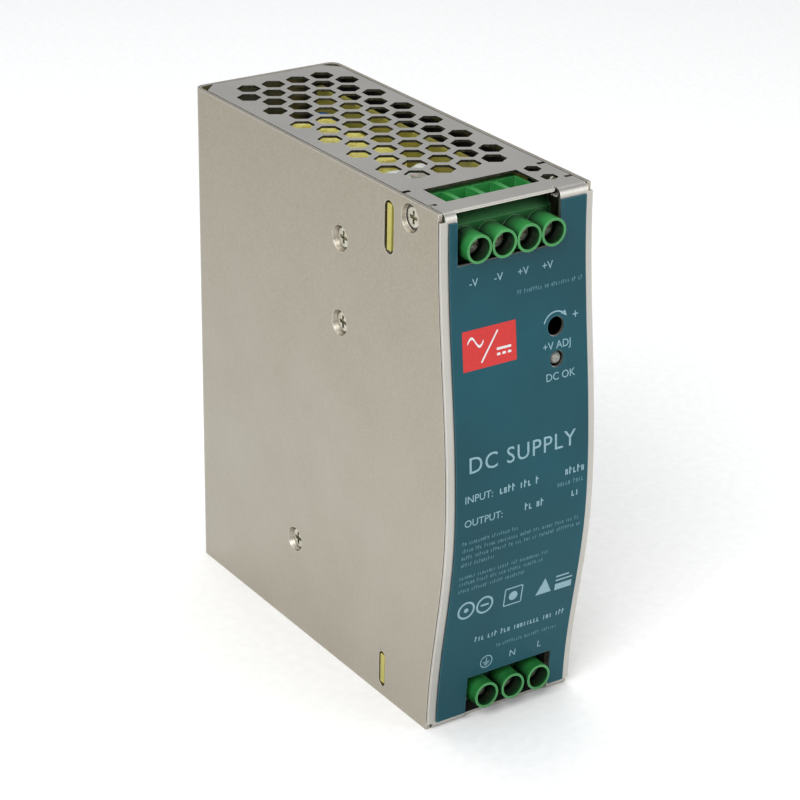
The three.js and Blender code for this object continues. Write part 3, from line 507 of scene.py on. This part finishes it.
def dress_frame():
    """Every CAD node's finish, by its slot unless it has one of its own, and its soft edges."""
    slots = {part["node"]: part["material_slot"] for part in frame["record"]["subparts"]}
    for node, piece in frame["nodes"].items():
        finish = NODE_FINISHES.get(node, SLOT_FINISHES[slots[node]])
        piece.data.materials.clear()
        piece.data.materials.append(finish)
        soften(node, SOFT_EDGE.get(node, SMALL_EDGE) * MM)
    paint_shade_on_vent_walls()


# ---------- pieces made here ----------
def loose_piece(name, mesh_builder, finish):
    """A mesh object from a finished bmesh."""
    mesh = bpy.data.meshes.new(name)
    mesh_builder.to_mesh(mesh)
    mesh_builder.free()
    mesh.materials.append(finish)
    piece = bpy.data.objects.new(name, mesh)
    bpy.context.scene.collection.objects.link(piece)
    return piece


def new_piece(name, mesh_builder, finish, body="case"):
    """A mesh object from a finished bmesh, riding on a body."""
    piece = loose_piece(name, mesh_builder, finish)
    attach(piece, body)
    return piece


# ---------- printed film ----------
def front_film():
    """The film with its face set back by the thickness of the ink that is printed on it."""
    bm = bmesh.new()
    bm.from_mesh(frame["nodes"]["front_label"].data)
    bmesh.ops.remove_doubles(bm, verts=bm.verts, dist=WELD)
    for vert in bm.verts:
        if vert.co.y < film_y(vert.co.z, -FILM_HALF):
            vert.co.y += INK
    bmesh.ops.dissolve_limit(bm, angle_limit=FLAT_ANGLE, verts=bm.verts, edges=bm.edges)
    for face in bm.faces:
        face.smooth = True
    bmesh.ops.recalc_face_normals(bm, faces=bm.faces)
    piece = new_piece("front_film", bm, SLOT_FINISHES["label"])
    bevel = piece.modifiers.new("bevel", "BEVEL")
    bevel.width = 0.05 * MM
    bevel.segments = 2
    bevel.angle_limit = SHARP_ANGLE
    piece.modifiers.new("normals", "WEIGHTED_NORMAL").keep_sharp = True
    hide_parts("front_label")


def print_on_film(name, shapes, finish, top=0.0):
    """Flat shapes, each a list of faces of (x, z) points in millimetres, as ink wrapped on the film."""
    back = -2 * INK
    bm = bmesh.new()
    for faces in shapes:
        verts = {}
        for face in faces:
            for x, z in face:
                if (x, z) not in verts:
                    verts[x, z] = bm.verts.new((x * MM, 0, z * MM))
            bm.faces.new([verts[point] for point in face])
    raised = bmesh.ops.extrude_face_region(bm, geom=bm.faces[:])["geom"]
    raised = {v for v in raised if isinstance(v, bmesh.types.BMVert)}
    for vert in bm.verts:
        lift = top if vert in raised else back
        vert.co.y = film_y(vert.co.z, lift)
    bmesh.ops.recalc_face_normals(bm, faces=bm.faces)
    piece = new_piece(name, bm, finish)


def rectangle(x0, x1, z0, z1):
    """An upright box on the film."""
    return [[(x0, z0), (x1, z0), (x1, z1), (x0, z1)]]


def stroke(x0, z0, x1, z1, width):
    """A straight line of a given width."""
    along = Vector((x1 - x0, z1 - z0)).normalized()
    side = Vector((-along.y, along.x)) * width / 2
    ends = [(x0, z0, -1), (x1, z1, -1), (x1, z1, 1), (x0, z0, 1)]
    return [[(round(x + s * side.x, 5), round(z + s * side.y, 5)) for x, z, s in ends]]


def arc(x, z, radius, width, start=0, end=360):
    """A band round a centre, from one angle to another in degrees; a whole ring closes on itself."""
    steps = 28
    ring = end - start == 360
    points = []
    for i in range(steps + (0 if ring else 1)):
        angle = math.radians(start + (end - start) * i / steps)
        pair = []
        for r in (radius - width / 2, radius + width / 2):
            pair.append((round(x + r * math.cos(angle), 5), round(z + r * math.sin(angle), 5)))
        points.append(pair)
    last = steps if ring else len(points) - 1
    faces = []
    for i in range(last):
        near, far = points[i], points[(i + 1) % len(points)]
        faces.append([near[0], near[1], far[1], far[0]])
    return faces


def disc(x, z, radius):
    """A filled round."""
    steps = 18
    turn = 2 * math.pi / steps
    return [[(x + radius * math.cos(i * turn), z + radius * math.sin(i * turn)) for i in range(steps)]]


def wave(x, z, length, height, width):
    """One period of an alternating-current sign, as a band."""
    steps = 18
    centre = []
    for i in range(steps + 1):
        t = i / steps
        centre.append((x - length / 2 + length * t, z + height / 2 * math.sin(2 * math.pi * t)))
    faces = []
    for (x0, z0), (x1, z1) in zip(centre, centre[1:]):
        low = [(x0, z0 - width / 2), (x1, z1 - width / 2)]
        faces.append([*low, (x1, z1 + width / 2), (x0, z0 + width / 2)])
    return faces


# The height of a capital letter in a font of size 1.
CAPITAL = 0.72


def word(text, x, z, height, align="CENTER", spacing=1.0):
    """The outlines of generic lettering as faces, its baseline at z and its anchor at x."""
    curve = bpy.data.curves.new("lettering", "FONT")
    curve.body = text
    curve.align_x = align
    curve.size = height / CAPITAL
    curve.space_character = spacing
    curve.resolution_u = 3
    holder = bpy.data.objects.new("lettering", curve)
    mesh = bpy.data.meshes.new_from_object(holder)
    faces = []
    for polygon in mesh.polygons:
        corners = [mesh.vertices[i].co for i in polygon.vertices]
        faces.append([(round(x + c.x, 5), round(z + c.y, 5)) for c in corners])
    bpy.data.objects.remove(holder)
    bpy.data.curves.remove(curve)
    bpy.data.meshes.remove(mesh)
    return faces


def filler_line(x0, x1, z, height, rng):
    """Marks the size of small letters, grouped as words, that spell nothing."""
    shapes = []
    letter, pen = height * 0.62, height * 0.17
    x, left = x0, rng.randint(2, 8)
    while x + letter <= x1:
        if left == 0:
            x, left = x + letter * 0.9, rng.randint(2, 9)
            continue
        kind = rng.randint(0, 3)
        stem = x + (pen if kind != 2 else letter * 0.45)
        shapes.append(rectangle(stem - pen / 2, stem + pen / 2, z, z + height * (1 if kind == 0 else 0.75)))
        if kind != 2:
            bar = z + (0.0 if kind == 1 else height * 0.55)
            shapes.append(rectangle(stem + pen / 2 + 0.02, x + letter * 0.8, bar, bar + pen))
        if kind == 3:
            side = x + letter * 0.8
            shapes.append(rectangle(side - pen, side, z, z + height * 0.5))
        x, left = x + letter, left - 1
    return shapes


OUTPUT_X = [(a.x + b.x) / 2 / MM for a, b in (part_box(f"output_screw_{i}") for i in range(1, 5))]
INPUT_X = [(a.x + b.x) / 2 / MM for a, b in (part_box(f"input_screw_{i}") for i in range(1, 4))]


def centre_of(node):
    """The middle of a node across the front, in millimetres."""
    low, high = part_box(node)
    return (low.x + high.x) / 2 / MM, (low.z + high.z) / 2 / MM


TRIMMER_X, TRIMMER_Z = centre_of("trimmer_rotor")
LAMP_X, LAMP_Z = centre_of("status_led")

# Lettering: the heights of letters, where the words start at the left, and the heights of the rows.
LETTER = 1.8
TITLE = 3.9
LEFT_EDGE = -15.7
SMALL_LEFT_EDGE = -16.0
OUTPUT_SIGNS = 108.1
TITLE_ROW = 66.3
INPUT_ROW = 59.4
OUTPUT_ROW = 53.6
SIGN_ROW = 31.3
EARTH_SIGN = 14.5
INPUT_SIGNS = 13.7


def terminal_marks():
    """Polarity under each output pole; line, neutral and earth over the input poles."""
    marks = []
    for x, sign in zip(OUTPUT_X, "--++"):
        marks.append(word(sign + "V", x - 0.3, OUTPUT_SIGNS, LETTER))
    marks.append(word("N", INPUT_X[1] + 0.4, INPUT_SIGNS, LETTER))
    marks.append(word("L", INPUT_X[2] + 0.6, INPUT_SIGNS, LETTER))
    x, z = INPUT_X[0] + 0.4, EARTH_SIGN
    marks.append(arc(x, z, 1.6, 0.22))
    marks.append(stroke(x, z + 1.1, x, z - 0.1, 0.2))
    for drop, half in ((0.15, 0.95), (0.58, 0.64), (0.97, 0.32)):
        marks.append(rectangle(x - half, x + half, z - drop - 0.11, z - drop + 0.09))
    return marks


def trimmer_marks():
    """The turning arrow over the trimmer hole, its plus sign, and the words under the hole and the lamp."""
    x, z = TRIMMER_X, TRIMMER_Z
    radius = 3.4
    marks = [arc(x, z, radius, 0.3, 55, 160)]
    tip = math.radians(50)
    px, pz = x + radius * math.cos(tip), z + radius * math.sin(tip)
    marks.append([[(px + 0.75, pz - 0.75), (px + 0.35, pz + 0.65), (px - 0.85, pz + 0.15)]])
    marks.append(word("+", x + 5.3, z + 0.7, 2.2))
    marks.append(word("+V ADJ", x + 0.1, z - 5.0, LETTER))
    marks.append(word("DC OK", LAMP_X + 0.8, LAMP_Z - 4.7, LETTER))
    return marks


def ratings():
    """The title and the rating lines."""
    rng = random.Random(7)
    shapes = [word("DC SUPPLY", LEFT_EDGE + 0.9, TITLE_ROW, TITLE, "LEFT", 1.1)]
    shapes.append(word("INPUT:", LEFT_EDGE, INPUT_ROW, LETTER, "LEFT"))
    shapes += filler_line(-6.4, 5.4, INPUT_ROW, LETTER, rng)
    shapes += filler_line(11.6, 17.4, INPUT_ROW, LETTER, rng)
    shapes.append(word("OUTPUT:", LEFT_EDGE, OUTPUT_ROW, LETTER, "LEFT"))
    shapes += filler_line(0.6, 7.8, OUTPUT_ROW, LETTER, rng)
    shapes += filler_line(13.6, 17.2, OUTPUT_ROW, LETTER, rng)
    shapes += filler_line(-9.4, 16.3, 21.3, 1.5, rng)
    return shapes


def small_print():
    """Rows of small marks that spell nothing."""
    rng = random.Random(11)
    rows = [(9.6, 17.0, 56.9, 1.2), (-2.8, 14.7, 17.8, 1.0), (-0.5, 17.2, 104.0, 1.0)]
    ends = [(49.2, -0.6), (47.3, 16.4), (45.5, 17.4), (43.6, -5.6), (40.3, 8.8), (38.6, 7.3), (36.7, 3.4)]
    rows += [(SMALL_LEFT_EDGE, end, z, 1.0) for z, end in ends]
    return [shape for x0, x1, z, height in rows for shape in filler_line(x0, x1, z, height, rng)]


def plain_signs():
    """The row of plain geometric signs over the bottom lines."""
    z = SIGN_ROW
    signs = [arc(-13.0, z, 2.1, 0.5), disc(-13.0, z, 0.6)]
    signs += [arc(-7.9, z, 2.1, 0.5), rectangle(-9.0, -6.8, z - 0.25, z + 0.25)]
    x0, x1, z0, z1 = -2.4, 2.4, z - 2.3, z + 2.3
    signs += [stroke(x0, z0, x1, z0, 0.3), stroke(x0, z1, x1, z1, 0.3)]
    signs += [stroke(x0, z0 + 0.15, x0, z1 - 0.15, 0.3), stroke(x1, z0 + 0.15, x1, z1 - 0.15, 0.3)]
    signs.append(disc((x0 + x1) / 2, z, 1.2))
    signs.append([[(6.6, z - 2.2), (11.0, z - 2.2), (8.8, z + 2.0)]])
    signs.append(rectangle(12.0, 16.7, z - 2.4, z - 0.7))
    signs += [rectangle(12.0, 16.7, z + 0.1, z + 0.5), rectangle(12.0, 15.6, z + 1.2, z + 1.6)]
    return signs


BADGE = (-15.2, -1.1, 89.6, 98.6)


def badge():
    """A red panel with a converter sign: alternating current in, direct current out."""
    x0, x1, z0, z1 = BADGE
    print_on_film("badge_ground", [rectangle(x0, x1, z0, z1)], RED_INK, -0.4 * INK)
    marks = [stroke(x0 + 4.8, z0 + 1.3, x1 - 4.8, z1 - 1.3, 0.4)]
    marks.append(wave(x0 + 3.4, z1 - 2.9, 4.2, 2.2, 0.6))
    marks.append(rectangle(x1 - 5.2, x1 - 1.4, z0 + 3.2, z0 + 3.75))
    for i in range(3):
        left = x1 - 5.2 + i * 1.45
        marks.append(rectangle(left, left + 0.9, z0 + 2.0, z0 + 2.55))
    print_on_film("badge_marks", marks, WHITE_INK)


def dress_film():
    """The film and everything that is printed on it."""
    front_film()
    print_on_film("terminal_marks", terminal_marks(), PALE_INK)
    print_on_film("trimmer_marks", trimmer_marks(), PALE_INK)
    print_on_film("rating_lines", ratings(), PALE_INK)
    print_on_film("small_print", small_print(), FAINT_INK)
    print_on_film("plain_signs", plain_signs(), PALE_INK)
    badge()


# ---------- inside ----------
def silicone_blob(name, centre, size, seed):
    """A lump of white silicone between the parts: a sphere pushed in and out by smooth random bumps."""
    rng = random.Random(seed)
    waves = [(Vector([rng.uniform(-3, 3) for _ in range(3)]), rng.uniform(0, 6)) for _ in range(7)]
    bm = bmesh.new()
    bmesh.ops.create_icosphere(bm, subdivisions=4, radius=1)
    for vert in bm.verts:
        swell = 1 + sum(0.07 * math.sin(v.dot(vert.co) * 1.6 + p) for v, p in waves)
        vert.co = Vector([c + s * a * swell for c, s, a in zip(centre, size, vert.co)])
    for face in bm.faces:
        face.smooth = True
    piece = new_piece(name, bm, SILICONE)


def dress_inside():
    """Silicone between the output sink and the transformer."""
    sink_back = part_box("secondary_sink")[1].y
    core_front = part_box("transformer_core")[0].y
    y = (sink_back + core_front) / 2
    silicone_blob("silicone_left", (-1 * MM, y - 0.6 * MM, 114.5 * MM), (5 * MM, 3.6 * MM, 3.2 * MM), 3)
    silicone_blob("silicone_right", (7 * MM, y + 0.5 * MM, 114 * MM), (3.4 * MM, 3.4 * MM, 3.4 * MM), 5)


# ---------- rail clip ----------
def latch_spring():
    """The spring as a piece of its own: the CAD node's mesh, welded and smoothly shaded, in place of the
    node.
    """
    bm = bmesh.new()
    bm.from_mesh(frame["nodes"]["rail_spring"].data)
    bmesh.ops.remove_doubles(bm, verts=bm.verts, dist=WELD)
    for face in bm.faces:
        face.smooth = True
    piece = loose_piece("latch_spring", bm, SLOT_FINISHES["spring"])
    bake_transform(piece)
    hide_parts("rail_spring")


# ---------- stage ----------
def camera():
    """A long lens from the front left, a little above the top."""
    data = bpy.data.cameras.new("camera")
    data.lens = 110.7
    data.sensor_width = 36
    data.clip_start = 0.01
    holder = bpy.data.objects.new("camera", data)
    holder.location = (-0.2960, -0.4416, 0.3032)
    yaw, pitch, roll = math.radians(34.32), math.radians(24.71), math.radians(-1.04)
    turn = Matrix.Rotation(-yaw, 3, "Z") @ Matrix.Rotation(math.pi / 2 - pitch, 3, "X")
    holder.rotation_euler = (turn @ Matrix.Rotation(-roll, 3, "Z")).to_euler()
    bpy.context.scene.collection.objects.link(holder)
    bpy.context.scene.camera = holder


def soft_light(name, place, target, width, power):
    """A square soft box that faces a target."""
    data = bpy.data.lights.new(name, "AREA")
    data.size = width
    data.energy = power
    holder = bpy.data.objects.new(name, data)
    holder.location = place
    holder.rotation_euler = (Vector(target) - Vector(place)).to_track_quat("-Z", "Y").to_euler()
    bpy.context.scene.collection.objects.link(holder)


def floor():
    """A wide plain floor under the base."""
    bm = bmesh.new()
    bmesh.ops.create_grid(bm, x_segments=2, y_segments=2, size=6)
    mesh = bpy.data.meshes.new("floor")
    bm.to_mesh(mesh)
    bm.free()
    mesh.materials.append(paper())
    piece = bpy.data.objects.new("floor", mesh)
    bpy.context.scene.collection.objects.link(piece)


def studio():
    """An even pale surround and three soft boxes."""
    world = bpy.data.worlds.new("studio")
    world.use_nodes = True
    world.node_tree.nodes["Background"].inputs["Color"].default_value = (0.93, 0.95, 1.0, 1)
    world.node_tree.nodes["Background"].inputs["Strength"].default_value = 0.55
    bpy.context.scene.world = world
    middle = (0, 0, HEIGHT / 2)
    soft_light("key", (-0.9, -0.5, 0.9), middle, 0.9, 14)
    soft_light("fill", (0.8, -0.9, 0.5), middle, 0.9, 5)
    soft_light("top", (0.1, 0.3, 1.2), middle, 0.8, 6)
    bpy.context.scene.view_settings.view_transform = "Standard"


camera()
floor()
studio()
dress_frame()
dress_film()
dress_inside()
latch_spring()

bpy.context.view_layer.update()
